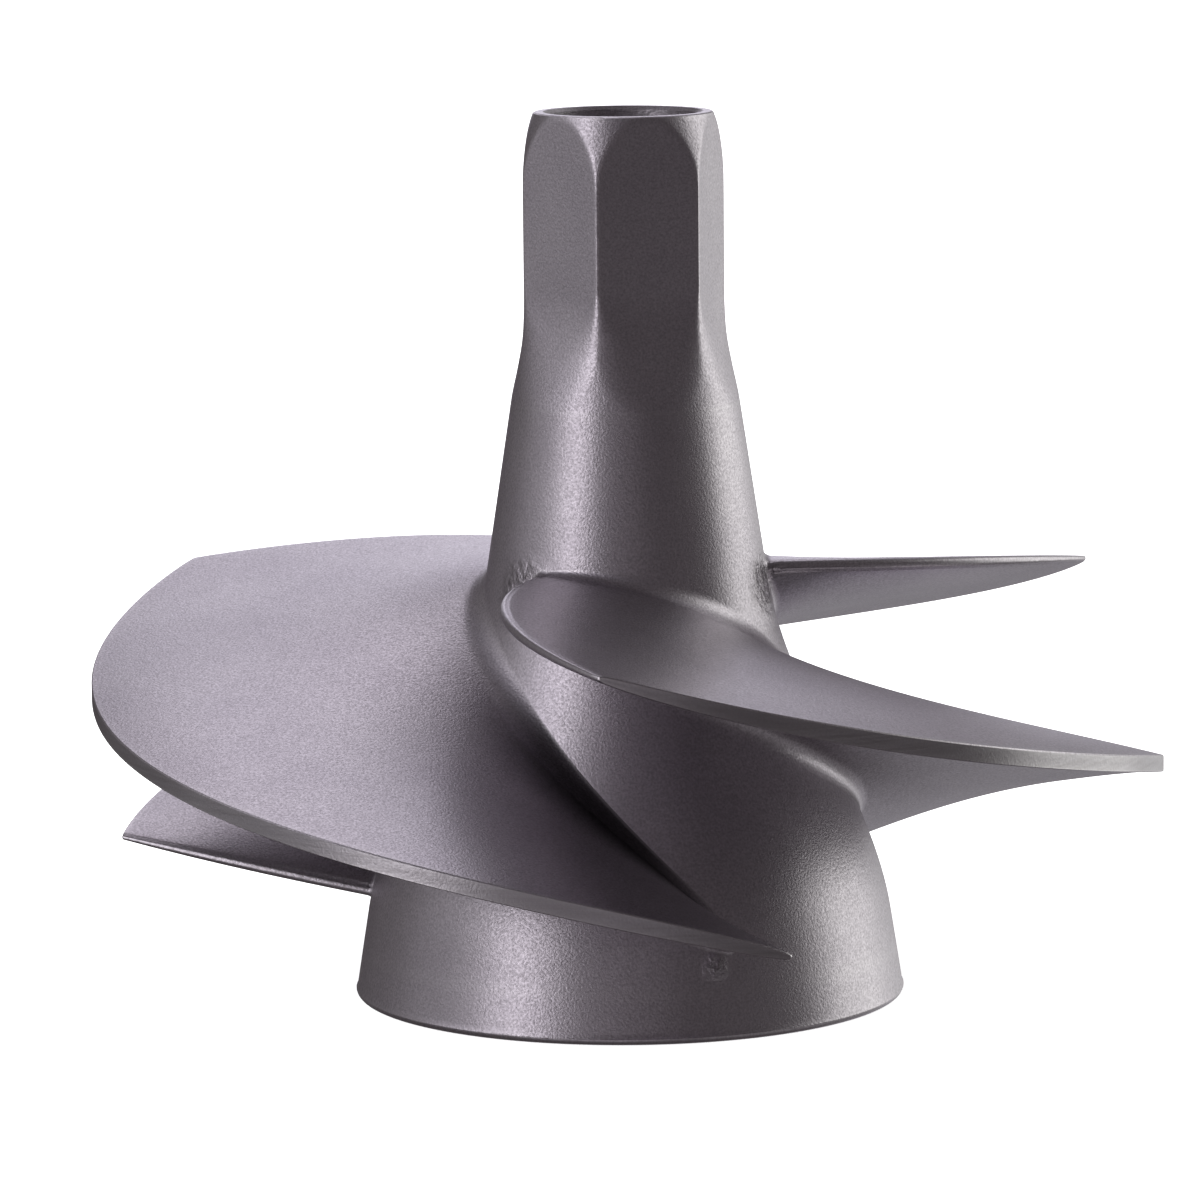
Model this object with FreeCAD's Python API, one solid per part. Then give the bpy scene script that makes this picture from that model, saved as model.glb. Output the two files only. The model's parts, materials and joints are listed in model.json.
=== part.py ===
import FreeCAD, Part
import math
import os

from FreeCAD import Vector

# Pump impeller with three blades.  Millimetres and degrees.
# +Z points from the open rear skirt up to the hexagonal nose.  The origin is on the spin axis,
# in the plane of the skirt's rear rim.  A radius is measured from the spin axis, a level along it.
# Angles are counted from the -Y side towards +X.

# ---- driving sizes: the hub's skin ----
BLADE_COUNT = 3
TIP_RADIUS = 77.5
HEIGHT = 128.0
SKIRT_RADIUS = 39.9          # where the skirt's cone meets the rear plane
SKIRT_TAPER = 0.157          # radius lost per millimetre of rise
SKIRT_TOP = 12.0             # level where the skirt's cone ends and the dome begins
CONE_BOTTOM = 60.0           # level where the dome ends and the nose cone begins
CONE_RADIUS = 20.5           # radius at CONE_BOTTOM
CONE_TAPER = 0.152
NOSE_RADIUS = 15.1           # round blank that the hexagon is cut from
CROWN_BOTTOM = 116.0         # level where the blank starts to round over towards the mouth
MOUTH_RADIUS = 12.9          # outside radius of the mouth's rim
RIM_ROUND = 0.9              # edge round on the skirt's rear rim

# ---- driving sizes: the hexagon on the nose ----
HEX_ACROSS_FLATS = 26.0
HEX_FIRST_FLAT = 14.8        # direction of one flat's middle
HEX_FLAT_BOTTOM = 103.0      # below this level each flat curves outwards
HEX_RUNOUT_BOTTOM = 90.0     # level where the flats have faded into the cone

# ---- driving sizes: the bores and the rear hollow ----
NOSE_BORE_RADIUS = 11.0
NOSE_BORE_BOTTOM = 90.0
SLEEVE_RADIUS = 12.2         # pocket for the spline sleeve, the nose seal and the damper plug
SEAL_HEIGHT = 4.0
SEAL_LIP = 0.25              # how far the nose seal stands into the bore
SPLINE_BOTTOM = 58.0
SPLINE_TEETH = 18
SPLINE_ROOT_RADIUS = 10.9
SPLINE_TIP_RADIUS = 9.7
SPLINE_ROOT_SHARE = 0.60     # share of one pitch that a tooth fills at its root
SPLINE_TIP_SHARE = 0.38      # share of one pitch that a tooth fills at its tip
BUSH_TOP = 50.0
BUSH_RADIUS = 14.0
BUSH_FLANGE_TOP = 8.0
BUSH_FLANGE_BOTTOM = 5.0
THREAD_CORE_RADIUS = 10.25
REAR_SEAL_RADIUS = 12.4      # counterbore that holds the rear seal
REAR_SEAL_HEIGHT = 2.0
BOSS_RADIUS = 17.5
HOLLOW_TOP = 47.0
WALL = 3.2                   # shell thickness, measured along a radius
SKIRT_SPLIT = 7.0            # level of the joint between skirt ring and hub cone
NOSE_SPLIT = 86.0            # level of the joint between hub cone and nose
WEB_THICKNESS = 3.0
WEB_BOTTOM = 14.0
FIRST_WEB_ANGLE = 60.0
EDGE_CHAMFER = 0.5

# ---- driving sizes: the blades ----
FIRST_BLADE_ANGLE = -2.9     # leading corner of blade 1, on the tip circle
TIP_WRAP = 138.7             # angle between the leading and the trailing corner
TIP_LEAD_LEVEL = 57.9
TIP_TRAIL_LEVEL = 19.6
TIP_LEAD_PITCH = 1.49        # pitch at the leading corner, over the blade's mean pitch
TIP_TRAIL_PITCH = 1.31
ROOT_LEAD_ANGLE = -34.0      # from the leading corner
ROOT_TRAIL_ANGLE = 144.0
ROOT_LEAD_LEVEL = 62.4
ROOT_TRAIL_LEVEL = 13.6
ROOT_LEAD_PITCH = 0.78
ROOT_TRAIL_PITCH = 1.65
LEAD_BOW = 1.1               # how far the leading edge bulges upwards between hub and tip
MIDDLE_BOW = 2.4             # the same for the middle of the blade
ROOT_HALF_THICKNESS = 2.4
TIP_HALF_THICKNESS = 1.22
EDGE_HALF_THICKNESS = 0.80   # roundness of the leading and trailing edges near the hub
TIP_EDGE_HALF_THICKNESS = 0.35
LEAD_RAMP = 40.0             # length over which the leading edge thickens
TRAIL_RAMP = 26.0
UPPER_FLARE = 7.2            # how much the upper face thickens towards the hub, at most
UPPER_FLARE_HEIGHT = 52.0    # how far from the hub that begins
UPPER_SKEW = 1.4             # how far ahead of mid-chord that thickening peaks
LOWER_FLARE = 1.5
LOWER_FLARE_HEIGHT = 14.0
LOWER_SKEW = 1.0
FILLET_SPREAD = 1.6          # how far the root fillet spreads over the hub, beyond the flare
FILLET_HEIGHT = 4.0          # how far up the blade it reaches

# ---- how finely the blade's skin is drawn ----
CHORD_STEPS = 28
EDGE_STEPS = 4
FILLET_SECTIONS = 5
SPAN_SECTIONS = 8
ROOT_OVERLAP = 1.2           # the skin starts this far inside the hub
TIP_OVERLAP = 1.5            # and ends this far outside the tip circle

ORIGIN = Vector(0, 0, 0)
UP = Vector(0, 0, 1)
SEAL_TOP = NOSE_BORE_BOTTOM
SPLINE_TOP = SEAL_TOP - SEAL_HEIGHT
SKIRT_TOP_RADIUS = SKIRT_RADIUS - SKIRT_TAPER * SKIRT_TOP
CONE_TOP = CONE_BOTTOM + (CONE_RADIUS - NOSE_RADIUS) / CONE_TAPER


def ease(t, start_slope, end_slope):
    """A cubic from 0 to 1 that has the given slopes at its ends."""
    return (start_slope * t
            + (3 - 2 * start_slope - end_slope) * t ** 2
            + (start_slope + end_slope - 2) * t ** 3)


def hub_radius(level):
    """Radius of the hub's round skin at a level, up to the nose blank."""
    if level <= SKIRT_TOP:
        return SKIRT_RADIUS - SKIRT_TAPER * level
    if level >= CONE_BOTTOM:
        return CONE_RADIUS - CONE_TAPER * (level - CONE_BOTTOM)
    rise = CONE_BOTTOM - SKIRT_TOP
    drop = SKIRT_TOP_RADIUS - CONE_RADIUS
    t = (level - SKIRT_TOP) / rise
    return SKIRT_TOP_RADIUS - drop * ease(t, SKIRT_TAPER * rise / drop, CONE_TAPER * rise / drop)


def at(radius, level):
    """A point of a profile, in the XZ plane."""
    return Vector(radius, 0, level)


def line(first, second):
    return Part.LineSegment(first, second).toShape()


def outline(points):
    """Straight edges through the points, in order."""
    return [line(first, second) for first, second in zip(points, points[1:])]


def turned(edges):
    """The solid that closed profile edges sweep around the spin axis."""
    wire = Part.Wire(Part.__sortEdges__(edges))
    return Part.Face(wire).revolve(ORIGIN, UP, 360)


def turned_points(points):
    return turned(outline(points + points[:1]))


def ring(inner, outer, bottom, top):
    return turned_points([at(inner, bottom), at(outer, bottom), at(outer, top), at(inner, top)])


def rod(radius, bottom, top):
    return Part.makeCylinder(radius, top - bottom, at(0, bottom), UP)


def spun(shape, angle):
    """A copy turned about the spin axis, from -Y towards +X for a positive angle."""
    copy = shape.copy()
    copy.rotate(ORIGIN, UP, angle)
    return copy


def dome_edge(inset):
    """The S-shaped stretch between skirt and cone, moved inwards by the inset."""
    third = (CONE_BOTTOM - SKIRT_TOP) / 3
    curve = Part.BezierCurve()
    curve.setPoles([
        at(SKIRT_TOP_RADIUS - inset, SKIRT_TOP),
        at(SKIRT_TOP_RADIUS - inset - SKIRT_TAPER * third, SKIRT_TOP + third),
        at(CONE_RADIUS - inset + CONE_TAPER * third, CONE_BOTTOM - third),
        at(CONE_RADIUS - inset, CONE_BOTTOM),
    ])
    return curve.toShape()


# ---- the hub ----
def hub_blank():
    """The hub as one solid, before it is bored, hollowed and given its flats."""
    rim_corner = at(SKIRT_RADIUS, 0)
    crown_radius = ((HEIGHT - CROWN_BOTTOM) ** 2 + (NOSE_RADIUS - MOUTH_RADIUS) ** 2) / (
        2 * (NOSE_RADIUS - MOUTH_RADIUS))
    half_way = (HEIGHT - CROWN_BOTTOM) / 2
    crown_middle = at(NOSE_RADIUS - crown_radius + math.sqrt(crown_radius ** 2 - half_way ** 2),
                      CROWN_BOTTOM + half_way)
    crown = Part.Arc(at(NOSE_RADIUS, CROWN_BOTTOM), crown_middle, at(MOUTH_RADIUS, HEIGHT))
    edges = [
        line(at(0, 0), rim_corner),
        line(rim_corner, at(SKIRT_TOP_RADIUS, SKIRT_TOP)),
        dome_edge(0),
        line(at(CONE_RADIUS, CONE_BOTTOM), at(NOSE_RADIUS, CONE_TOP)),
        line(at(NOSE_RADIUS, CONE_TOP), at(NOSE_RADIUS, CROWN_BOTTOM)),
        crown.toShape(),
        line(at(MOUTH_RADIUS, HEIGHT), at(0, HEIGHT)),
        line(at(0, HEIGHT), at(0, 0)),
    ]
    return turned(edges)


def flat_cutter():
    """Material outside one flat: straight above, curving outwards below."""
    reach = 2 * NOSE_RADIUS
    apothem = HEX_ACROSS_FLATS / 2
    drop = HEX_FLAT_BOTTOM - HEX_RUNOUT_BOTTOM
    run = hub_radius(HEX_RUNOUT_BOTTOM) - apothem
    radius = (drop ** 2 + run ** 2) / (2 * run)
    middle = at(apothem + radius - math.sqrt(radius ** 2 - (drop / 2) ** 2), HEX_FLAT_BOTTOM - drop / 2)
    runout = Part.Arc(at(apothem, HEX_FLAT_BOTTOM), middle, at(apothem + run, HEX_RUNOUT_BOTTOM))
    top = HEIGHT + 1
    edges = [runout.toShape()] + outline([
        at(apothem + run, HEX_RUNOUT_BOTTOM),
        at(reach, HEX_RUNOUT_BOTTOM),
        at(reach, top),
        at(apothem, top),
        at(apothem, HEX_FLAT_BOTTOM),
    ])
    profile = Part.Face(Part.Wire(Part.__sortEdges__(edges)))
    profile.translate(Vector(0, -reach, 0))
    return profile.extrude(Vector(0, 2 * reach, 0))


def hex_nose(blank):
    """The nose: wrench flats outside, a smooth bore with chamfered mouth inside."""
    nose = blank.common(rod(TIP_RADIUS, NOSE_SPLIT, HEIGHT))
    cutter = flat_cutter()
    for index in range(6):
        nose = nose.cut(spun(cutter, HEX_FIRST_FLAT - 90 + 60 * index))
    bore = turned_points([
        at(0, NOSE_BORE_BOTTOM),
        at(NOSE_BORE_RADIUS, NOSE_BORE_BOTTOM),
        at(NOSE_BORE_RADIUS, HEIGHT - EDGE_CHAMFER),
        at(NOSE_BORE_RADIUS + EDGE_CHAMFER, HEIGHT),
        at(0, HEIGHT),
    ])
    pocket = rod(SLEEVE_RADIUS, NOSE_SPLIT, NOSE_BORE_BOTTOM)
    return nose.cut(bore).cut(pocket)


def rear_hollow():
    """The space between the shell and the centre boss, open at the rear."""
    edges = outline([
        at(CONE_RADIUS - WALL, CONE_BOTTOM),
        at(0, CONE_BOTTOM),
        at(0, 0),
        at(SKIRT_RADIUS - WALL, 0),
        at(SKIRT_TOP_RADIUS - WALL, SKIRT_TOP),
    ]) + [dome_edge(WALL)]
    return turned(edges).common(rod(TIP_RADIUS, 0, HOLLOW_TOP))


def hub_cone(blank, hollow):
    """The cone and dome that carry the blades, bored for what sits inside."""
    cone = blank.common(rod(TIP_RADIUS, SKIRT_SPLIT, NOSE_SPLIT))
    cone = cone.cut(hollow)
    cone = cone.cut(rod(SLEEVE_RADIUS, HOLLOW_TOP, NOSE_SPLIT))
    return cone.cut(rod(BUSH_RADIUS, HOLLOW_TOP, BUSH_TOP))


def rear_skirt(blank, hollow):
    """The ring at the open end, with a rounded outer rim."""
    skirt = blank.common(rod(TIP_RADIUS, 0, SKIRT_SPLIT)).cut(hollow)
    rim = [edge for edge in skirt.Edges
           if edge.BoundBox.ZMax < 0.001 and edge.BoundBox.XMax > SKIRT_RADIUS - 0.001]
    return skirt.makeFillet(RIM_ROUND, rim)


def center_boss():
    return ring(BUSH_RADIUS, BOSS_RADIUS, BUSH_FLANGE_TOP, HOLLOW_TOP)


def web(hollow, angle):
    """One stiffening web between the centre boss and the shell."""
    plate = Part.makeBox(SKIRT_RADIUS, WEB_THICKNESS, HOLLOW_TOP - WEB_BOTTOM,
                         Vector(0, -WEB_THICKNESS / 2, WEB_BOTTOM))
    plate = plate.common(hollow).cut(rod(BOSS_RADIUS, 0, HEIGHT))
    return spun(plate, angle - 90)


# ---- what sits in the hub's bores ----
def thread_bush():
    """Threaded bush with a rear flange; its bore is drawn at the thread's core diameter."""
    seal_top = BUSH_FLANGE_BOTTOM + REAR_SEAL_HEIGHT
    return turned_points([
        at(REAR_SEAL_RADIUS, BUSH_FLANGE_BOTTOM),
        at(BOSS_RADIUS - EDGE_CHAMFER, BUSH_FLANGE_BOTTOM),
        at(BOSS_RADIUS, BUSH_FLANGE_BOTTOM + EDGE_CHAMFER),
        at(BOSS_RADIUS, BUSH_FLANGE_TOP),
        at(BUSH_RADIUS, BUSH_FLANGE_TOP),
        at(BUSH_RADIUS, BUSH_TOP),
        at(THREAD_CORE_RADIUS, BUSH_TOP),
        at(THREAD_CORE_RADIUS, seal_top),
        at(REAR_SEAL_RADIUS, seal_top),
    ])


def rear_seal():
    """O-ring in the bush's rear counterbore, flush with the flange."""
    section = REAR_SEAL_HEIGHT / 2
    return Part.makeTorus(REAR_SEAL_RADIUS - section, section, at(0, BUSH_FLANGE_BOTTOM + section), UP)


def damper_plug():
    """Rubber stop for the end of the drive shaft, with a raised pad."""
    height = SPLINE_BOTTOM - BUSH_TOP
    pad_radius = SPLINE_TIP_RADIUS - 1
    flange = rod(SLEEVE_RADIUS, BUSH_TOP, SPLINE_BOTTOM)
    pad = rod(pad_radius, SPLINE_BOTTOM, SPLINE_BOTTOM + height / 4)
    return flange.fuse(pad).removeSplitter()


def spline_point(radius, angle):
    return Vector(radius * math.cos(angle), radius * math.sin(angle), SPLINE_BOTTOM)


def spline_sleeve():
    """Sleeve with straight internal teeth for the drive shaft."""
    pitch = 2 * math.pi / SPLINE_TEETH
    half_root = pitch * SPLINE_ROOT_SHARE / 2
    half_tip = pitch * SPLINE_TIP_SHARE / 2
    points = []
    for index in range(SPLINE_TEETH):
        middle = index * pitch
        points += [
            spline_point(SPLINE_ROOT_RADIUS, middle - half_root),
            spline_point(SPLINE_TIP_RADIUS, middle - half_tip),
            spline_point(SPLINE_TIP_RADIUS, middle + half_tip),
            spline_point(SPLINE_ROOT_RADIUS, middle + half_root),
        ]
    opening = Part.Face(Part.makePolygon(points + points[:1]))
    teeth = opening.extrude(Vector(0, 0, SPLINE_TOP - SPLINE_BOTTOM))
    return rod(SLEEVE_RADIUS, SPLINE_BOTTOM, SPLINE_TOP).cut(teeth)


def nose_seal():
    """Rubber ring between the sleeve and the nose's shoulder, with its lip in the bore."""
    return ring(NOSE_BORE_RADIUS - SEAL_LIP, SLEEVE_RADIUS, SPLINE_TOP, SEAL_TOP)


# ---- the blades ----
def mean_line(chord, span):
    """Angle and level of the blade's mean surface: chord 0 leads, span 0 is on the hub's skin."""
    root_angle = ROOT_LEAD_ANGLE + (ROOT_TRAIL_ANGLE - ROOT_LEAD_ANGLE) * chord
    tip_angle = TIP_WRAP * chord
    root_fall = (ROOT_LEAD_LEVEL - ROOT_TRAIL_LEVEL) * ease(chord, ROOT_LEAD_PITCH, ROOT_TRAIL_PITCH)
    tip_fall = (TIP_LEAD_LEVEL - TIP_TRAIL_LEVEL) * ease(chord, TIP_LEAD_PITCH, TIP_TRAIL_PITCH)
    root_level = ROOT_LEAD_LEVEL - root_fall
    tip_level = TIP_LEAD_LEVEL - tip_fall
    bow = 4 * span * (1 - span) * (LEAD_BOW * (1 - chord) ** 2 + MIDDLE_BOW * 4 * chord * (1 - chord))
    angle = root_angle + (tip_angle - root_angle) * span
    level = root_level + (tip_level - root_level) * span + bow
    return math.radians(angle), level


def span_radius(level, span):
    """Radius of the surface between hub skin and tip circle that a span value names."""
    return hub_radius(level) * (1 - span) + TIP_RADIUS * span


def early_swell(chord, skew):
    """0 at both edges of the blade and 1 at its peak, which a larger skew moves forward."""
    peak = (1 + skew) * (1 + 1 / skew) ** skew
    return peak * chord * (1 - chord) ** skew


def half_thickness(chord, chord_length, span, height, is_upper):
    """Distance from the mean surface to one face; it grows near the hub."""
    body = ROOT_HALF_THICKNESS + (TIP_HALF_THICKNESS - ROOT_HALF_THICKNESS) * span
    edge = EDGE_HALF_THICKNESS + (TIP_EDGE_HALF_THICKNESS - EDGE_HALF_THICKNESS) * max(span, 0) ** 3
    lead = min(chord * chord_length / LEAD_RAMP, 1)
    trail = min((1 - chord) * chord_length / TRAIL_RAMP, 1)
    fullness = math.sqrt(lead * (2 - lead) * trail * (2 - trail))
    flare = UPPER_FLARE if is_upper else LOWER_FLARE
    flare_height = UPPER_FLARE_HEIGHT if is_upper else LOWER_FLARE_HEIGHT
    swell = early_swell(chord, UPPER_SKEW if is_upper else LOWER_SKEW)
    flare *= swell * max(1 - height / flare_height, 0) ** 3
    fillet = FILLET_SPREAD * max(1 - height / FILLET_HEIGHT, 0) ** 3
    return edge + (body - edge) * fullness + flare + fillet


def skin_point(chord, span, side):
    """A point on the blade's skin.

    side runs from 1 (upper face) to -1 (lower face); at the two ends of the chord the values
    between them go round the edge.
    """
    step = 0.001
    angle, level = mean_line(chord, span)
    next_angle, next_level = mean_line(chord + step, span)
    radius = span_radius(level, span)
    slope = (span_radius(level + step, span) - radius) / step
    along = (next_angle - angle) * radius
    up = (next_level - level) * math.hypot(1, slope)
    speed = math.hypot(along, up)
    forward = (along / speed, up / speed)
    normal = (-forward[1], forward[0])
    height = span * (TIP_RADIUS - hub_radius(level))
    half = half_thickness(chord, speed / step, span, height, side > 0)
    outward = -1 if chord < 0.5 else 1
    across = half * side
    beyond = outward * math.sqrt(max(half ** 2 - across ** 2, 0))
    shift_along = across * normal[0] + beyond * forward[0]
    shift_up = across * normal[1] + beyond * forward[1]
    skin_angle = angle + shift_along / radius
    skin_level = level + shift_up / math.hypot(1, slope)
    skin_radius = span_radius(skin_level, span)
    return Vector(skin_radius * math.sin(skin_angle), -skin_radius * math.cos(skin_angle), skin_level)


def spline_edge(points):
    """A smooth edge through the points, with evenly spaced parameters."""
    curve = Part.BSplineCurve()
    curve.interpolate(Points=points, Parameters=[float(index) for index in range(len(points))])
    return curve.toShape()


def blade_section(span):
    """The closed outline of the blade at one span: upper face, trailing edge, lower face, leading edge."""
    chords = [index / CHORD_STEPS for index in range(CHORD_STEPS + 1)]
    turns = [math.cos(math.pi * index / EDGE_STEPS) for index in range(EDGE_STEPS + 1)]
    upper = [skin_point(chord, span, 1) for chord in chords]
    trailing = [skin_point(1, span, side) for side in turns]
    lower = [skin_point(chord, span, -1) for chord in reversed(chords)]
    leading = [skin_point(0, span, -side) for side in turns]
    return Part.Wire([spline_edge(points) for points in (upper, trailing, lower, leading)])


def blade(blank):
    """One blade with its root fillet, from the hub's skin to the tip circle."""
    mean_reach = TIP_RADIUS - hub_radius((ROOT_LEAD_LEVEL + ROOT_TRAIL_LEVEL) / 2)
    fillet_span = FILLET_HEIGHT / mean_reach
    first = -ROOT_OVERLAP / mean_reach
    last = 1 + TIP_OVERLAP / mean_reach
    spans = [first + (fillet_span - first) * index / FILLET_SECTIONS for index in range(FILLET_SECTIONS)]
    spans += [fillet_span + (last - fillet_span) * index / SPAN_SECTIONS for index in range(SPAN_SECTIONS + 1)]
    skin = Part.makeLoft([blade_section(span) for span in spans], False, False)
    room = rod(TIP_RADIUS, 0, NOSE_SPLIT).cut(blank)
    pieces, _ = room.generalFuse([skin])
    return min(pieces.Solids, key=lambda solid: solid.Volume)


def build():
    blank = hub_blank()
    hollow = rear_hollow()
    shapes = {
        "hex_nose": hex_nose(blank),
        "hub_cone": hub_cone(blank, hollow),
        "rear_skirt": rear_skirt(blank, hollow),
        "center_boss": center_boss(),
        "thread_bush": thread_bush(),
        "rear_seal": rear_seal(),
        "damper_plug": damper_plug(),
        "spline_sleeve": spline_sleeve(),
        "nose_seal": nose_seal(),
    }
    first_blade = blade(blank)
    for index in range(BLADE_COUNT):
        turn = 360 / BLADE_COUNT * index
        shapes[f"blade_{index + 1}"] = spun(first_blade, FIRST_BLADE_ANGLE + turn)
        shapes[f"web_{index + 1}"] = web(hollow, FIRST_WEB_ANGLE + turn)
    os.makedirs("parts", exist_ok=True)
    for name, shape in shapes.items():
        shape.exportStep(f"parts/{name}.step")
        print(f"{name}: {shape.ShapeType}, solids {len(shape.Solids)}, valid {shape.isValid()}, "
              f"volume {shape.Volume:.0f}")


build()
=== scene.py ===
import json
import math

import bmesh
import bpy
import numpy as np
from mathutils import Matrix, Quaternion, Vector

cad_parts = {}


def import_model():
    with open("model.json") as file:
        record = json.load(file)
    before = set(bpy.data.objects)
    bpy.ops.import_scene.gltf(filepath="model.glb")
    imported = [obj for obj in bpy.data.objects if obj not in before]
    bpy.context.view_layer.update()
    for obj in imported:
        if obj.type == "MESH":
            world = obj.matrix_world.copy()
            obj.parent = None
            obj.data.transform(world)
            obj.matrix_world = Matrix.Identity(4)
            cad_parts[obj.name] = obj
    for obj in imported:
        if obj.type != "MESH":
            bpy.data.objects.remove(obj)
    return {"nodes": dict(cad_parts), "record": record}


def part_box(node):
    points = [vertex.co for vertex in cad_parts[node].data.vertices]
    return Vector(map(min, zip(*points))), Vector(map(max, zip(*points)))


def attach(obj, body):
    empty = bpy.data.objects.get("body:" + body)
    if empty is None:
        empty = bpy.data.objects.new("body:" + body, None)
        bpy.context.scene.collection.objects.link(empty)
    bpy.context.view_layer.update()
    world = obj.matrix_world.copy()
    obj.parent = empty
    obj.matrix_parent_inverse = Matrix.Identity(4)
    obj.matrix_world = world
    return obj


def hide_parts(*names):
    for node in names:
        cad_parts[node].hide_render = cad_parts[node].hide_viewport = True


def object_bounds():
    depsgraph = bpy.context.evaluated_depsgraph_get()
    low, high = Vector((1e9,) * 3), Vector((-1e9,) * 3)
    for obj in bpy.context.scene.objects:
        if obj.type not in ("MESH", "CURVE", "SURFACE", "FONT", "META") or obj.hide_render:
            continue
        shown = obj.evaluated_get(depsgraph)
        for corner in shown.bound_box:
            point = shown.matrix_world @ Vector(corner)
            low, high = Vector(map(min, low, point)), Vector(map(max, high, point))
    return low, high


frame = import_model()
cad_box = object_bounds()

# Pump impeller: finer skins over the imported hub, nose, skirt and blades, in blasted cast steel.
# Shape formulas work in millimetres and degrees; MM turns them into metres when a mesh is made.
# Angles are counted from the -Y side towards +X.
MM = 0.001
BODY = "root"

# ---- sizes read from the frame ----
BOX_INSET = 0.01             # keeps the blade tips just inside the CAD part's box
TIP_RADIUS = cad_box[1].x / MM - BOX_INSET
HEIGHT = round(cad_box[1].z / MM, 1)
SKIRT_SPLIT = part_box("rear_skirt")[1].z / MM
NOSE_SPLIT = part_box("hex_nose")[0].z / MM
SLEEVE_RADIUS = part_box("spline_sleeve")[1].x / MM
NOSE_BORE_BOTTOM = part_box("nose_seal")[1].z / MM
BUSH_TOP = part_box("thread_bush")[1].z / MM
HOLLOW_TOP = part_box("center_boss")[1].z / MM

# ---- the hub's skin, as the CAD part has it ----
SKIRT_RADIUS = 39.9
SKIRT_TAPER = 0.157
SKIRT_TOP = 12.0
CONE_BOTTOM = 60.0
CONE_RADIUS = 20.5
CONE_TAPER = 0.152
NOSE_RADIUS = 15.1
CROWN_BOTTOM = 116.0
MOUTH_RADIUS = 12.9
NOSE_BORE_RADIUS = 11.0
BUSH_RADIUS = 14.0
WALL = 3.2
RIM_ROUND = 0.9
EDGE_CHAMFER = 0.5
APOTHEM = 13.0
HEX_FIRST_FLAT = 14.8
HEX_FLAT_BOTTOM = 103.0
HEX_RUNOUT_BOTTOM = 90.0
HEX_EDGE_SOFTNESS = 0.22
HEX_RUNOUT_SOFTNESS = 1.8    # added to it where a flat fades into the cone

# ---- the blades, as the CAD part has them ----
BLADE_COUNT = 3
FIRST_BLADE_ANGLE = -2.9
TIP_WRAP = 138.7
TIP_LEVELS = (57.9, 19.6)
TIP_PITCHES = (1.49, 1.31)
ROOT_ANGLES = (-34.0, 144.0)
ROOT_LEVELS = (62.4, 13.6)
ROOT_PITCHES = (0.78, 1.65)
LEAD_BOW = 1.1
MIDDLE_BOW = 2.4
ROOT_HALF_THICKNESS = 2.4
TIP_HALF_THICKNESS = 1.22
EDGE_HALF_THICKNESS = 0.80
TIP_EDGE_HALF_THICKNESS = 0.35
LEAD_RAMP = 40.0
TRAIL_RAMP = 26.0
UPPER_FLARE = 7.2
UPPER_FLARE_HEIGHT = 52.0
UPPER_SKEW = 1.4
LOWER_FLARE = 1.5
LOWER_FLARE_HEIGHT = 14.0
LOWER_SKEW = 1.0
END_FILLET = 0.9             # radius of the root fillet at the blade's edges; rounder than in the CAD part
MIDDLE_FILLET = 1.9          # added to it at mid-chord

# ---- surface marks, and the painted shade by the blade roots ----
GRAIN = 0.34                 # size of the blasted grain
LINE_PITCH = 0.5             # spacing of level polishing marks
LINE_STRETCH = 0.03          # how long they run, as their narrowness over their length
WEAR_RADIUS = 0.5            # edges rounder than this are polished bright
ROUGH_PATCHES = (            # angle, level and radius of the patch at each of a blade's root corners
    (ROOT_ANGLES[0] - 10.0, ROOT_LEVELS[0] - 2.2, 4.5),
    (ROOT_ANGLES[1] - 3.0, ROOT_LEVELS[1] - 3.0, 1.6),
)
VALLEY_SHADE_WIDTH = 13.0          # width of the strip beside the hub, on each blade's upper side, where shade is painted dark in place of the deep fold's shadow
VALLEY_SHADE_CHORD = 0.82
VALLEY_SHADE_HALF_LENGTH = 0.14
VALLEY_SHADE_FADE = 3              # how fast the strip ends where the face stops looking up
VALLEY_SHADE_AMOUNT = 0.85
WORN_AMOUNT = 0.55
WORN_POLISH = 0.12           # how much smoother a worn edge is
PIT_AMOUNT = 0.65

# ---- steel colours ----
SPECK_COLOUR = (0.20, 0.185, 0.20)
LINE_COLOUR = (0.34, 0.32, 0.33)
WORN_COLOUR = (0.68, 0.66, 0.67)
PIT_COLOUR = (0.10, 0.09, 0.09)
# painted shade, laid on the strip beside each blade's root
VALLEY_SHADE_COLOUR = (0.03, 0.028, 0.03)

# ---- how finely the skins are drawn ----
AROUND = 360
CHORD_ROWS = 260
EDGE_ROWS = 10
FILLET_ROWS = 14
SPAN_ROWS = 40
TIP_BREAK = 0.16             # width of the broken edge along the tip band
TIP_LANES = (0.1, 0.5, 0.9)  # rows of points along the tip band, as shares of its width

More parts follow.
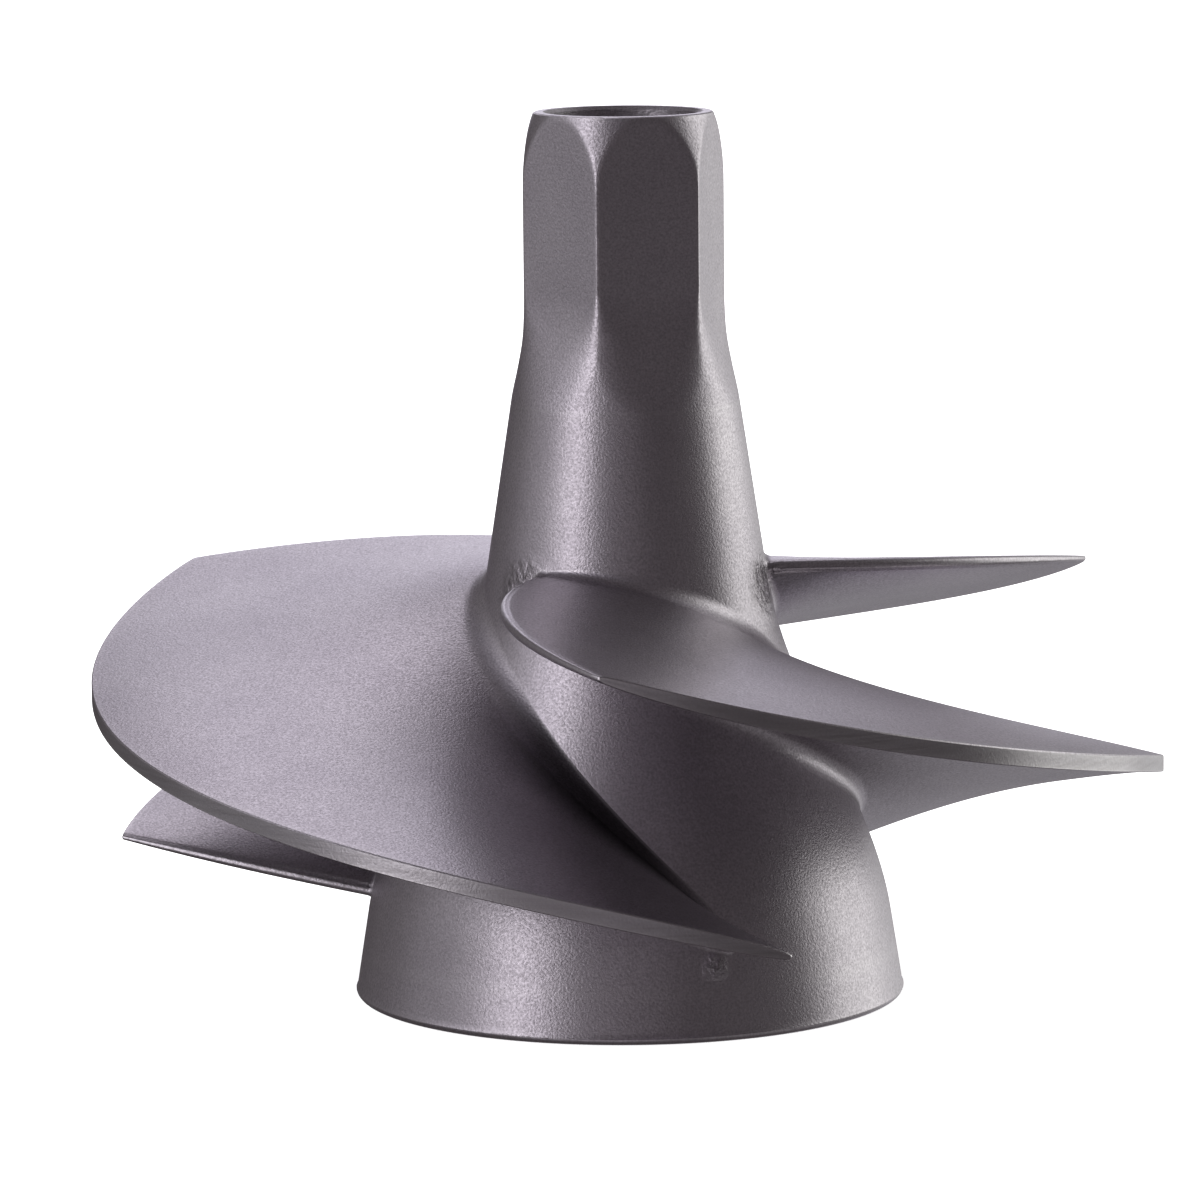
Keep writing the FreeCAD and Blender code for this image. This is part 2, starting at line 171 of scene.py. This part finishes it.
# ---- the studio: metres, and degrees where nothing else is said ----
CAMERA_PLACE = (-0.0039, -0.9141, 0.1901)
CAMERA_AIM = (-0.0039, 0, 0.0576)
CAMERA_ROLL = -0.0087        # radians
CAMERA_LENS = 191.5
WORLD_BRIGHTNESS = 1.3
FLOOR_HALF_SIZE = 6.0
FLOOR_GLOW = 0.8             # keeps the floor white under the part
DOME_RADIUS = 2.0
DOME_AMBIENT = (0.09, 0.08, 0.085)
SOFTBOXES = (                # azimuth, half width, bottom, top, softness, colour
    (-48, 11, -14, 42, 10, (1.72, 1.68, 1.76)),
    (-68, 18, 16, 44, 16, (0.62, 0.61, 0.65)),
    (-82, 24, -14, 46, 20, (0.26, 0.26, 0.27)),
    (-122, 24, -16, 40, 16, (0.09, 0.09, 0.09)),
    (110, 20, -14, 40, 10, (1.36, 1.39, 1.33)),
    (146, 19, -16, 16, 14, (0.66, 0.67, 0.66)),
    (140, 24, 14, 42, 18, (0.22, 0.22, 0.22)),
    (-177, 13, 0, 40, 8, (1.04, 1.02, 1.14)),
    (-168, 19, 42, 70, 12, (1.22, 1.18, 1.28)),
    (150, 22, 38, 64, 20, (0.22, 0.22, 0.24)),
    (-60, 60, 42, 66, 20, (0.14, 0.14, 0.16)),
    (-6, 14, -14, 16, 10, (0.14, 0.13, 0.14)),
    (-15, 26, -42, -12, 14, (0.26, 0.25, 0.27)),
    (90, 60, -42, -14, 20, (0.15, 0.15, 0.15)),
    (164, 24, -42, -12, 20, (0.36, 0.36, 0.38)),
)


# ---- formulas ----
def ease(t, start_slope, end_slope):
    return (start_slope * t
            + (3 - 2 * start_slope - end_slope) * t ** 2
            + (start_slope + end_slope - 2) * t ** 3)


def hub_radius(level):
    level = np.asarray(level, float)
    skirt_top_radius = SKIRT_RADIUS - SKIRT_TAPER * SKIRT_TOP
    rise = CONE_BOTTOM - SKIRT_TOP
    drop = skirt_top_radius - CONE_RADIUS
    t = (level - SKIRT_TOP) / rise
    dome = skirt_top_radius - drop * ease(t, SKIRT_TAPER * rise / drop, CONE_TAPER * rise / drop)
    skirt = SKIRT_RADIUS - SKIRT_TAPER * level
    cone = CONE_RADIUS - CONE_TAPER * (level - CONE_BOTTOM)
    return np.where(level <= SKIRT_TOP, skirt, np.where(level >= CONE_BOTTOM, cone, dome))


def blade_angle(number):
    return FIRST_BLADE_ANGLE + 360 / BLADE_COUNT * number


def placed(angle, radius, level):
    """Points from cylindrical positions; the angle is in radians."""
    return np.stack([radius * np.sin(angle), -radius * np.cos(angle), level + 0 * angle], -1)


def soft_min(first, second, softness):
    overlap = np.maximum(softness - np.abs(first - second), 0) / softness
    return np.minimum(first, second) - overlap ** 2 * softness / 4


def soft_edge(distance, half_size, softness):
    """1 inside a light, 0 outside it, with a soft edge centred on its border."""
    share = np.clip((half_size - distance) / softness + 0.5, 0, 1)
    return share ** 2 * (3 - 2 * share)


# ---- mesh building ----
def strip_faces(index, close_rows, close_columns):
    """Quads over a grid of vertex numbers."""
    rows, columns = index.shape
    faces = []
    for row in range(rows if close_rows else rows - 1):
        for column in range(columns if close_columns else columns - 1):
            below = index[(row + 1) % rows]
            beside = (column + 1) % columns
            faces.append((index[row][column], index[row][beside], below[beside], below[column]))
    return faces


def paint(mesh, name, values):
    """Stores one number per vertex for the materials to read."""
    layer = mesh.attributes.new(name, "FLOAT", "POINT")
    layer.data.foreach_set("value", np.ascontiguousarray(values, dtype=np.float32))


def field(items, name, width, kind):
    """One property of all vertices or edges, as rows."""
    values = np.empty(len(items) * width, kind)
    items.foreach_get(name, values)
    return values.reshape(-1, width)


def paint_wear(mesh):
    """Marks convex edges, where handling has polished the grain away."""
    points = field(mesh.vertices, "co", 3, np.float32)
    normals = field(mesh.vertex_normals, "vector", 3, np.float32)
    first, second = field(mesh.edges, "vertices", 2, np.int32).T
    across = points[first] - points[second]
    bend = ((normals[first] - normals[second]) * across).sum(1) / (across ** 2).sum(1)
    ends = np.concatenate([first, second])
    total = np.bincount(ends, np.concatenate([bend, bend]), len(points))
    number = np.bincount(ends, minlength=len(points))
    paint(mesh, "wear", np.clip(total / np.maximum(number, 1) * WEAR_RADIUS * MM, 0, 1))


def paint_valley_shade(mesh, first_angle):
    """Marks the strip by the hub where shade is painted dark, in place of the shadow in the real casting's
    deeper fold.
    """
    x, y, z = (field(mesh.vertices, "co", 3, np.float32) / MM).T
    upward = field(mesh.vertex_normals, "vector", 3, np.float32)[:, 2]
    angle = np.degrees(np.arctan2(x, -y)) - first_angle
    chord = ((angle + 90) % 360 - 90 - ROOT_ANGLES[0]) / (ROOT_ANGLES[1] - ROOT_ANGLES[0])
    near = soft_edge(np.hypot(x, y) - hub_radius(z), VALLEY_SHADE_WIDTH / 2, VALLEY_SHADE_WIDTH)
    along = soft_edge(np.abs(chord - VALLEY_SHADE_CHORD), VALLEY_SHADE_HALF_LENGTH, VALLEY_SHADE_HALF_LENGTH)
    paint(mesh, "valley_shade", near * along * np.clip(upward * VALLEY_SHADE_FADE, 0, 1))


def paint_rough(mesh):
    """Marks the as-cast patches beside each blade's root corners."""
    points = field(mesh.vertices, "co", 3, np.float32) / MM
    rough = np.zeros(len(points))
    for number in range(BLADE_COUNT):
        for turn, level, radius in ROUGH_PATCHES:
            angle = math.radians(blade_angle(number) + turn)
            centre = placed(np.array(angle), hub_radius(level), level)
            distance = np.linalg.norm(points - centre, axis=1)
            rough = np.maximum(rough, soft_edge(distance, radius, radius))
    paint(mesh, "rough_cast", rough)


def make_piece(name, points, faces, materials, node, sharp_angle):
    mesh = bpy.data.meshes.new(name)
    mesh.from_pydata((points * MM).tolist(), [], faces)
    piece = bpy.data.objects.new(name, mesh)
    bpy.context.scene.collection.objects.link(piece)
    work = bmesh.new()
    work.from_mesh(mesh)
    bmesh.ops.remove_doubles(work, verts=work.verts, dist=1e-7)
    bmesh.ops.dissolve_degenerate(work, edges=work.edges, dist=1e-7)
    bmesh.ops.recalc_face_normals(work, faces=work.faces)
    work.to_mesh(mesh)
    work.free()
    paint_wear(mesh)
    paint_rough(mesh)
    mesh.shade_smooth()
    mesh.set_sharp_from_angle(angle=math.radians(sharp_angle))
    for material in materials:
        mesh.materials.append(material)
    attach(piece, BODY)
    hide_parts(node)
    return piece


def lathe(name, profile, material, node):
    """A closed profile of (radius, level) points, turned around the spin axis."""
    profile = np.array(profile)
    angles = np.linspace(0, 2 * np.pi, AROUND, endpoint=False)
    points = placed(angles[None, :], profile[:, :1], profile[:, 1:])
    index = np.arange(points.shape[0] * AROUND).reshape(points.shape[:2])
    return make_piece(name, points.reshape(-1, 3), strip_faces(index, True, True), [material], node, 28)


def levels(bottom, top, step):
    return np.linspace(bottom, top, max(2, round(abs(top - bottom) / step) + 1))


# ---- hub, skirt and nose ----
def hub_cone(material):
    outer = [(hub_radius(z), z) for z in levels(SKIRT_SPLIT, NOSE_SPLIT, 0.8)]
    inner = [(hub_radius(z) - WALL, z) for z in levels(HOLLOW_TOP, SKIRT_SPLIT, 1.0)]
    bore = [(SLEEVE_RADIUS, NOSE_SPLIT), (SLEEVE_RADIUS, BUSH_TOP), (BUSH_RADIUS, BUSH_TOP),
            (BUSH_RADIUS, HOLLOW_TOP)]
    return lathe("hub_cone_skin", outer + bore + inner, material, "hub_cone")


def rear_skirt(material):
    turns = np.radians(np.linspace(0, 90, 9))
    rim = [(SKIRT_RADIUS - RIM_ROUND + RIM_ROUND * math.sin(t), RIM_ROUND - RIM_ROUND * math.cos(t))
           for t in turns]
    outer = [(hub_radius(z), z) for z in levels(RIM_ROUND + 0.4, SKIRT_SPLIT, 0.6)]
    inner = [(hub_radius(z) - WALL, z) for z in levels(SKIRT_SPLIT, EDGE_CHAMFER, 1.0)]
    mouth = [(SKIRT_RADIUS - WALL + EDGE_CHAMFER, 0)]
    return lathe("rear_skirt_skin", rim + outer + inner + mouth, material, "rear_skirt")


def nose_radius(angle, level):
    """The nose's skin: a crowned round blank with six flats that curve out into the cone."""
    rise = HEIGHT - CROWN_BOTTOM
    fall = NOSE_RADIUS - MOUTH_RADIUS
    crown_radius = (rise ** 2 + fall ** 2) / (2 * fall)
    above = np.maximum(level - CROWN_BOTTOM, 0)
    blank = -soft_min(-hub_radius(level), -NOSE_RADIUS, 0.3)
    blank = blank - crown_radius + np.sqrt(crown_radius ** 2 - above ** 2)
    drop = HEX_FLAT_BOTTOM - HEX_RUNOUT_BOTTOM
    run = hub_radius(HEX_RUNOUT_BOTTOM) - APOTHEM
    runout_radius = (drop ** 2 + run ** 2) / (2 * run)
    below = np.maximum(HEX_FLAT_BOTTOM - level, 0)
    flat = APOTHEM + runout_radius - np.sqrt(runout_radius ** 2 - below ** 2)
    softness = HEX_EDGE_SOFTNESS + HEX_RUNOUT_SOFTNESS * np.minimum(below / drop, 1)
    skin = blank + 0 * angle
    for index in range(6):
        turn = angle - math.radians(HEX_FIRST_FLAT + 60 * index)
        facing = np.maximum(np.cos(turn), 0.2)
        skin = soft_min(skin, flat / facing, softness)
    return skin


def hex_nose(material):
    angles = np.radians(HEX_FIRST_FLAT + np.linspace(0, 360, AROUND, endpoint=False))
    heights = levels(NOSE_SPLIT, HEIGHT - 0.15, 0.32)
    outer = placed(angles[None, :], nose_radius(angles[None, :], heights[:, None]), heights[:, None])
    inside = np.array([
        (MOUTH_RADIUS - 0.2, HEIGHT),
        (NOSE_BORE_RADIUS + EDGE_CHAMFER, HEIGHT),
        (NOSE_BORE_RADIUS, HEIGHT - EDGE_CHAMFER),
        (NOSE_BORE_RADIUS, NOSE_BORE_BOTTOM),
        (SLEEVE_RADIUS, NOSE_BORE_BOTTOM),
        (SLEEVE_RADIUS, NOSE_SPLIT),
    ])
    inner = placed(angles[None, :], inside[:, :1], inside[:, 1:])
    points = np.concatenate([outer, inner])
    index = np.arange(points.shape[0] * AROUND).reshape(points.shape[:2])
    return make_piece("hex_nose_skin", points.reshape(-1, 3), strip_faces(index, True, True),
                      [material], "hex_nose", 28)


# ---- blades ----
def blend(pair, share):
    return pair[0] + (pair[1] - pair[0]) * share


def mean_line(chord, span):
    """Angle (radians) and level of the blade's mean surface."""
    root_angle = blend(ROOT_ANGLES, chord)
    root_level = blend(ROOT_LEVELS, ease(chord, *ROOT_PITCHES))
    tip_level = blend(TIP_LEVELS, ease(chord, *TIP_PITCHES))
    bow = 4 * span * (1 - span) * (LEAD_BOW * (1 - chord) ** 2 + MIDDLE_BOW * 4 * chord * (1 - chord))
    angle = root_angle + (TIP_WRAP * chord - root_angle) * span
    return np.radians(angle), root_level + (tip_level - root_level) * span + bow


def span_radius(level, span):
    return hub_radius(level) * (1 - span) + TIP_RADIUS * span


def early_swell(chord, skew):
    """0 at both edges of the blade and 1 at its peak, which a larger skew moves towards the front."""
    peak = (1 + skew) * (1 + 1 / skew) ** skew
    return peak * chord * (1 - chord) ** skew


def half_thickness(chord, chord_length, span, height, upper):
    body = ROOT_HALF_THICKNESS + (TIP_HALF_THICKNESS - ROOT_HALF_THICKNESS) * span
    edge = EDGE_HALF_THICKNESS + (TIP_EDGE_HALF_THICKNESS - EDGE_HALF_THICKNESS) * span ** 3
    lead = np.minimum(chord * chord_length / LEAD_RAMP, 1)
    trail = np.minimum((1 - chord) * chord_length / TRAIL_RAMP, 1)
    fullness = np.sqrt(lead * (2 - lead) * trail * (2 - trail))
    flare = np.where(upper, UPPER_FLARE * np.maximum(1 - height / UPPER_FLARE_HEIGHT, 0) ** 3,
                     LOWER_FLARE * np.maximum(1 - height / LOWER_FLARE_HEIGHT, 0) ** 3)
    swell = early_swell(chord, np.where(upper, UPPER_SKEW, LOWER_SKEW))
    fillet_radius = END_FILLET + MIDDLE_FILLET * 4 * chord * (1 - chord)
    missing = np.clip(1 - height / fillet_radius, 0, 1)
    fillet = fillet_radius * (1 - np.sqrt(1 - missing ** 2))
    return edge + (body - edge) * fullness + flare * swell + fillet


def blade_skin(chord, side, row):
    """Points on the blade's skin; row counts from the hub, side runs from 1 above to -1 below."""
    root_gap = TIP_RADIUS - hub_radius(mean_line(chord, 0)[1])
    fillet_top = END_FILLET + MIDDLE_FILLET
    turn = np.minimum(row / FILLET_ROWS, 1) * np.pi / 2
    share = np.clip((row - FILLET_ROWS) / SPAN_ROWS, 0, 1)
    top_row = FILLET_ROWS + SPAN_ROWS + 1
    height = fillet_top * (1 - np.cos(turn)) + (root_gap - TIP_BREAK - fillet_top) * share
    height = np.where(row == top_row, root_gap, height)
    span = height / root_gap
    step = 0.001
    angle, level = mean_line(chord, span)
    next_angle, next_level = mean_line(chord + step, span)
    radius = span_radius(level, span)
    slope = (span_radius(level + step, span) - radius) / step
    along = (next_angle - angle) * radius
    up = (next_level - level) * np.hypot(1, slope)
    speed = np.hypot(along, up)
    half = half_thickness(chord, speed / step, span, height, side > 0)
    half = half - np.where(row == top_row, TIP_BREAK, 0)
    across = half * side
    beyond = np.sign(chord - 0.5) * np.sqrt(np.maximum(half ** 2 - across ** 2, 0))
    skin_angle = angle + (beyond * along - across * up) / speed / radius
    skin_level = level + (across * along + beyond * up) / speed / np.hypot(1, slope)
    return placed(skin_angle, span_radius(skin_level, span), skin_level)


def blade_outline():
    """Chord and side of each column of the closed section, all the way round."""
    share = np.linspace(0, 1, CHORD_ROWS + 1)
    chord = (1 - np.cos(np.pi * share)) / 2 * 0.5 + share * 0.5
    turns = np.cos(np.linspace(0, np.pi, EDGE_ROWS + 1))[1:-1]
    chords = np.concatenate([chord, np.ones(len(turns)), chord[::-1], np.zeros(len(turns))])
    sides = np.concatenate([np.ones(len(chord)), turns, -np.ones(len(chord)), -turns])
    return chords, sides


def both_faces(ring):
    """The upper and the lower face's share of one row round the blade, both from the leading edge."""
    face_end = CHORD_ROWS + EDGE_ROWS
    return ring[:CHORD_ROWS + 1], ring[face_end:face_end + CHORD_ROWS + 1][::-1]


def cap(ring, lanes):
    """Closes one end of the blade; lanes are rows of points between its upper and lower face."""
    upper, lower = both_faces(ring)
    face_end = CHORD_ROWS + EDGE_ROWS
    faces = strip_faces(np.array([upper, *lanes, lower]), False, False)
    faces.append((*ring[CHORD_ROWS:face_end + 1], *[lane[-1] for lane in lanes[::-1]]))
    faces.append((*ring[face_end + CHORD_ROWS:], ring[0], *[lane[0] for lane in lanes]))
    return faces


def tip_lanes(tip_points):
    """Rows of points along the tip band, so that only its edges look worn."""
    lanes = np.stack([blend(both_faces(tip_points), share) for share in TIP_LANES])
    lanes[..., :2] *= TIP_RADIUS / np.hypot(lanes[..., 0], lanes[..., 1])[..., None]
    return lanes


def blade(number, cast, turned):
    chords, sides = blade_outline()
    rows = np.arange(FILLET_ROWS + SPAN_ROWS + 2)
    skin = blade_skin(chords[None, :], sides[None, :], rows[:, None])
    index = np.arange(skin.shape[0] * len(chords)).reshape(skin.shape[:2])
    lanes = tip_lanes(skin[-1])
    lane_index = index.size + np.arange(lanes.shape[0] * lanes.shape[1]).reshape(lanes.shape[:2])
    faces = strip_faces(index, False, True) + cap(index[0], []) + cap(index[-1], list(lane_index))
    turn = math.radians(blade_angle(number))
    cos, sin = math.cos(turn), math.sin(turn)
    points = np.concatenate([skin.reshape(-1, 3), lanes.reshape(-1, 3)])
    points = points @ np.array([[cos, sin, 0], [-sin, cos, 0], [0, 0, 1]])
    name = f"blade_{number + 1}"
    piece = make_piece(name + "_skin", points, faces, [cast, turned], name, 35)
    # paints shade dark into the strip beside the hub, where the real fold lies in shadow
    paint_valley_shade(piece.data, blade_angle(number))
    for polygon in piece.data.polygons:
        corners = [piece.data.vertices[corner].co for corner in polygon.vertices]
        nearest = min(math.hypot(corner.x, corner.y) for corner in corners)
        polygon.material_index = int(nearest > (TIP_RADIUS - TIP_BREAK / 2) * MM)


# ---- materials ----
def new_material(name):
    material = bpy.data.materials.new(name)
    material.use_nodes = True
    nodes = material.node_tree.nodes
    nodes.clear()
    output = nodes.new("ShaderNodeOutputMaterial")
    shader = nodes.new("ShaderNodeBsdfPrincipled")
    material.node_tree.links.new(shader.outputs["BSDF"], output.inputs["Surface"])
    return material, nodes, material.node_tree.links, shader


def noise(nodes, links, coordinates, feature, detail):
    """Noise whose features are about that many metres across."""
    texture = nodes.new("ShaderNodeTexNoise")
    texture.inputs["Scale"].default_value = 1 / feature
    texture.inputs["Detail"].default_value = detail
    links.new(coordinates, texture.inputs["Vector"])
    return texture.outputs["Fac"]


def remap(nodes, links, value, low, high):
    node = nodes.new("ShaderNodeMapRange")
    node.inputs["From Min"].default_value = 0.3
    node.inputs["From Max"].default_value = 0.7
    node.inputs["To Min"].default_value = low
    node.inputs["To Max"].default_value = high
    links.new(value, node.inputs["Value"])
    return node.outputs["Result"]


def mixed(nodes, links, kind, factor, first, second):
    """A Mix node; each of the three inputs is a socket or a plain value."""
    node = nodes.new("ShaderNodeMix")
    node.data_type = kind
    sockets = [socket for socket in node.inputs if socket.enabled]
    for socket, value in zip(sockets, (factor, first, second)):
        if isinstance(value, bpy.types.NodeSocket):
            links.new(value, socket)
        elif isinstance(value, tuple):
            socket.default_value = (*value, 1)
        else:
            socket.default_value = value
    return next(socket for socket in node.outputs if socket.enabled)


def painted(nodes, name):
    attribute = nodes.new("ShaderNodeAttribute")
    attribute.attribute_name = name
    return attribute.outputs["Fac"]


def level_lines(nodes, links, coordinates):
    """Fine marks that run round the spin axis, as a lathe or a polishing belt leaves them."""
    stretch = nodes.new("ShaderNodeMapping")
    stretch.inputs["Scale"].default_value = (LINE_STRETCH, LINE_STRETCH, 1)
    links.new(coordinates, stretch.inputs["Vector"])
    return noise(nodes, links, stretch.outputs["Vector"], LINE_PITCH * MM, 2)


def bumped(nodes, links, height, strength, distance, under=None):
    bump = nodes.new("ShaderNodeBump")
    bump.inputs["Strength"].default_value = strength
    bump.inputs["Distance"].default_value = distance * MM
    links.new(height, bump.inputs["Height"])
    if under is not None:
        links.new(under, bump.inputs["Normal"])
    return bump.outputs["Normal"]


def product(nodes, links, first, second):
    node = nodes.new("ShaderNodeMath")
    node.operation = "MULTIPLY"
    links.new(first, node.inputs[0])
    if isinstance(second, float):
        node.inputs[1].default_value = second
    else:
        links.new(second, node.inputs[1])
    return node.outputs["Value"]


def steel(name, dark, light, roughness, grain, lines):
    """Stainless steel: fine blasted grain, soft blotches, level marks, painted shade beside the blade
    roots, polished edges, rough patches.
    """
    material, nodes, links, shader = new_material(name)
    coordinates = nodes.new("ShaderNodeTexCoord").outputs["Object"]
    blotch = remap(nodes, links, noise(nodes, links, coordinates, 14 * MM, 3), 0, 1)
    fine = noise(nodes, links, coordinates, GRAIN * MM, 2)
    coarse = noise(nodes, links, coordinates, 1.1 * MM, 3)
    marks = level_lines(nodes, links, coordinates)
    worn = product(nodes, links, painted(nodes, "wear"), WORN_AMOUNT)
    rough = painted(nodes, "rough_cast")

    layers = (
        (remap(nodes, links, fine, 0, grain), SPECK_COLOUR),
        (remap(nodes, links, marks, 0, lines), LINE_COLOUR),
        # painted shade: darkens the strip beside the hub, standing in for the shadowed fold
        (product(nodes, links, painted(nodes, "valley_shade"), VALLEY_SHADE_AMOUNT), VALLEY_SHADE_COLOUR),
        (worn, WORN_COLOUR),
        (product(nodes, links, rough, remap(nodes, links, coarse, 0, PIT_AMOUNT)), PIT_COLOUR),
    )
    colour = mixed(nodes, links, "RGBA", blotch, dark, light)
    for amount, layer_colour in layers:
        colour = mixed(nodes, links, "RGBA", amount, colour, layer_colour)
    links.new(colour, shader.inputs["Base Color"])

    shader.inputs["Metallic"].default_value = 1
    grainy = remap(nodes, links, fine, roughness - 0.05, roughness + 0.05)
    polished = mixed(nodes, links, "FLOAT", worn, grainy, roughness - WORN_POLISH)
    links.new(polished, shader.inputs["Roughness"])

    normal = bumped(nodes, links, fine, grain, 0.1)
    normal = bumped(nodes, links, marks, lines, 0.03, normal)
    pits = product(nodes, links, coarse, rough)
    links.new(bumped(nodes, links, pits, 1, 0.5, normal), shader.inputs["Normal"])
    return material


def rubber():
    material, nodes, links, shader = new_material("rubber")
    coordinates = nodes.new("ShaderNodeTexCoord").outputs["Object"]
    fine = noise(nodes, links, coordinates, 0.6 * MM, 3)
    shade = remap(nodes, links, fine, 0, 1)
    colour = mixed(nodes, links, "RGBA", shade, (0.012, 0.012, 0.013), (0.03, 0.03, 0.031))
    links.new(colour, shader.inputs["Base Color"])
    links.new(remap(nodes, links, fine, 0.55, 0.75), shader.inputs["Roughness"])
    links.new(bumped(nodes, links, fine, 0.3, 0.1), shader.inputs["Normal"])
    return material


def dress_cad_nodes(kinds):
    for subpart in frame["record"]["subparts"]:
        node = frame["nodes"][subpart["node"]]
        node.data.materials.clear()
        node.data.materials.append(kinds[subpart["material_slot"]])


# ---- stage, light and camera ----
def floor_material():
    material, _, _, shader = new_material("floor_white")
    shader.inputs["Base Color"].default_value = (0.9, 0.9, 0.9, 1)
    shader.inputs["Roughness"].default_value = 0.9
    shader.inputs["Emission Color"].default_value = (1, 1, 1, 1)
    shader.inputs["Emission Strength"].default_value = FLOOR_GLOW
    return material


def light_dome():
    """What the metal mirrors: a sphere painted with softboxes, seen by reflections only."""
    azimuths = np.linspace(-180, 180, 181)
    elevations = np.linspace(-90, 90, 91)
    azimuth, elevation = np.meshgrid(azimuths[:-1], elevations)
    light = np.zeros(azimuth.shape + (3,)) + np.array(DOME_AMBIENT)
    for centre, half_width, bottom, top, softness, colour in SOFTBOXES:
        turn = np.abs((azimuth - centre + 180) % 360 - 180)
        across = soft_edge(turn, half_width, softness)
        upright = soft_edge(np.abs(elevation - (bottom + top) / 2), (top - bottom) / 2, softness)
        light += (across * upright)[..., None] * np.array(colour)
    flat_radius = DOME_RADIUS * np.cos(np.radians(elevation))
    points = placed(np.radians(azimuth), flat_radius, DOME_RADIUS * np.sin(np.radians(elevation)))
    index = np.arange(azimuth.size).reshape(azimuth.shape)
    mesh = bpy.data.meshes.new("light_dome")
    mesh.from_pydata(points.reshape(-1, 3).tolist(), [], strip_faces(index, False, True))
    layer = mesh.attributes.new("light", "FLOAT_COLOR", "POINT")
    rgba = np.concatenate([light.reshape(-1, 3), np.ones((azimuth.size, 1))], 1)
    layer.data.foreach_set("color", rgba.ravel())
    material = bpy.data.materials.new("light_dome")
    material.use_nodes = True
    nodes = material.node_tree.nodes
    nodes.clear()
    light_paint = nodes.new("ShaderNodeAttribute")
    light_paint.attribute_name = "light"
    glow = nodes.new("ShaderNodeEmission")
    output = nodes.new("ShaderNodeOutputMaterial")
    material.node_tree.links.new(light_paint.outputs["Color"], glow.inputs["Color"])
    material.node_tree.links.new(glow.outputs["Emission"], output.inputs["Surface"])
    mesh.materials.append(material)
    dome = bpy.data.objects.new("light_dome", mesh)
    bpy.context.scene.collection.objects.link(dome)
    dome.visible_camera = False
    dome.visible_diffuse = False
    dome.visible_shadow = False
    dome.visible_transmission = False


def floor():
    size = FLOOR_HALF_SIZE
    mesh = bpy.data.meshes.new("floor")
    corners = [(-size, -size, 0), (size, -size, 0), (size, size, 0), (-size, size, 0)]
    mesh.from_pydata(corners, [], [(0, 1, 2, 3)])
    obj = bpy.data.objects.new("floor", mesh)
    bpy.context.scene.collection.objects.link(obj)
    mesh.materials.append(floor_material())
    obj.visible_glossy = False


def world():
    studio = bpy.data.worlds.new("studio")
    bpy.context.scene.world = studio
    studio.use_nodes = True
    background = studio.node_tree.nodes["Background"]
    background.inputs["Color"].default_value = (1, 1, 1, 1)
    background.inputs["Strength"].default_value = WORLD_BRIGHTNESS


def camera():
    data = bpy.data.cameras.new("camera")
    data.sensor_width = 36
    data.lens = CAMERA_LENS
    obj = bpy.data.objects.new("camera", data)
    bpy.context.scene.collection.objects.link(obj)
    obj.location = CAMERA_PLACE
    aim = Vector(CAMERA_AIM) - Vector(CAMERA_PLACE)
    obj.rotation_mode = "QUATERNION"
    roll = Quaternion((0, 0, 1), CAMERA_ROLL)
    obj.rotation_quaternion = aim.to_track_quat("-Z", "Y") @ roll
    bpy.context.scene.camera = obj


def main():
    blasted = steel("blasted_steel", (0.56, 0.52, 0.565), (0.63, 0.59, 0.63), 0.37, 0.48, 0.0)
    brushed = steel("brushed_steel", (0.56, 0.52, 0.565), (0.63, 0.59, 0.63), 0.37, 0.46, 0.10)
    turned = steel("turned_steel", (0.42, 0.40, 0.42), (0.50, 0.48, 0.50), 0.34, 0.25, 0.7)
    machined = steel("machined_steel", (0.54, 0.53, 0.54), (0.62, 0.61, 0.62), 0.26, 0.10, 0.3)
    dress_cad_nodes({"cast_stainless": blasted, "machined_steel": machined, "rubber": rubber()})
    hub_cone(brushed)
    rear_skirt(brushed)
    hex_nose(blasted)
    for number in range(BLADE_COUNT):
        blade(number, blasted, turned)
    floor()
    world()
    light_dome()
    camera()
    bpy.context.scene.view_settings.view_transform = "Standard"


main()
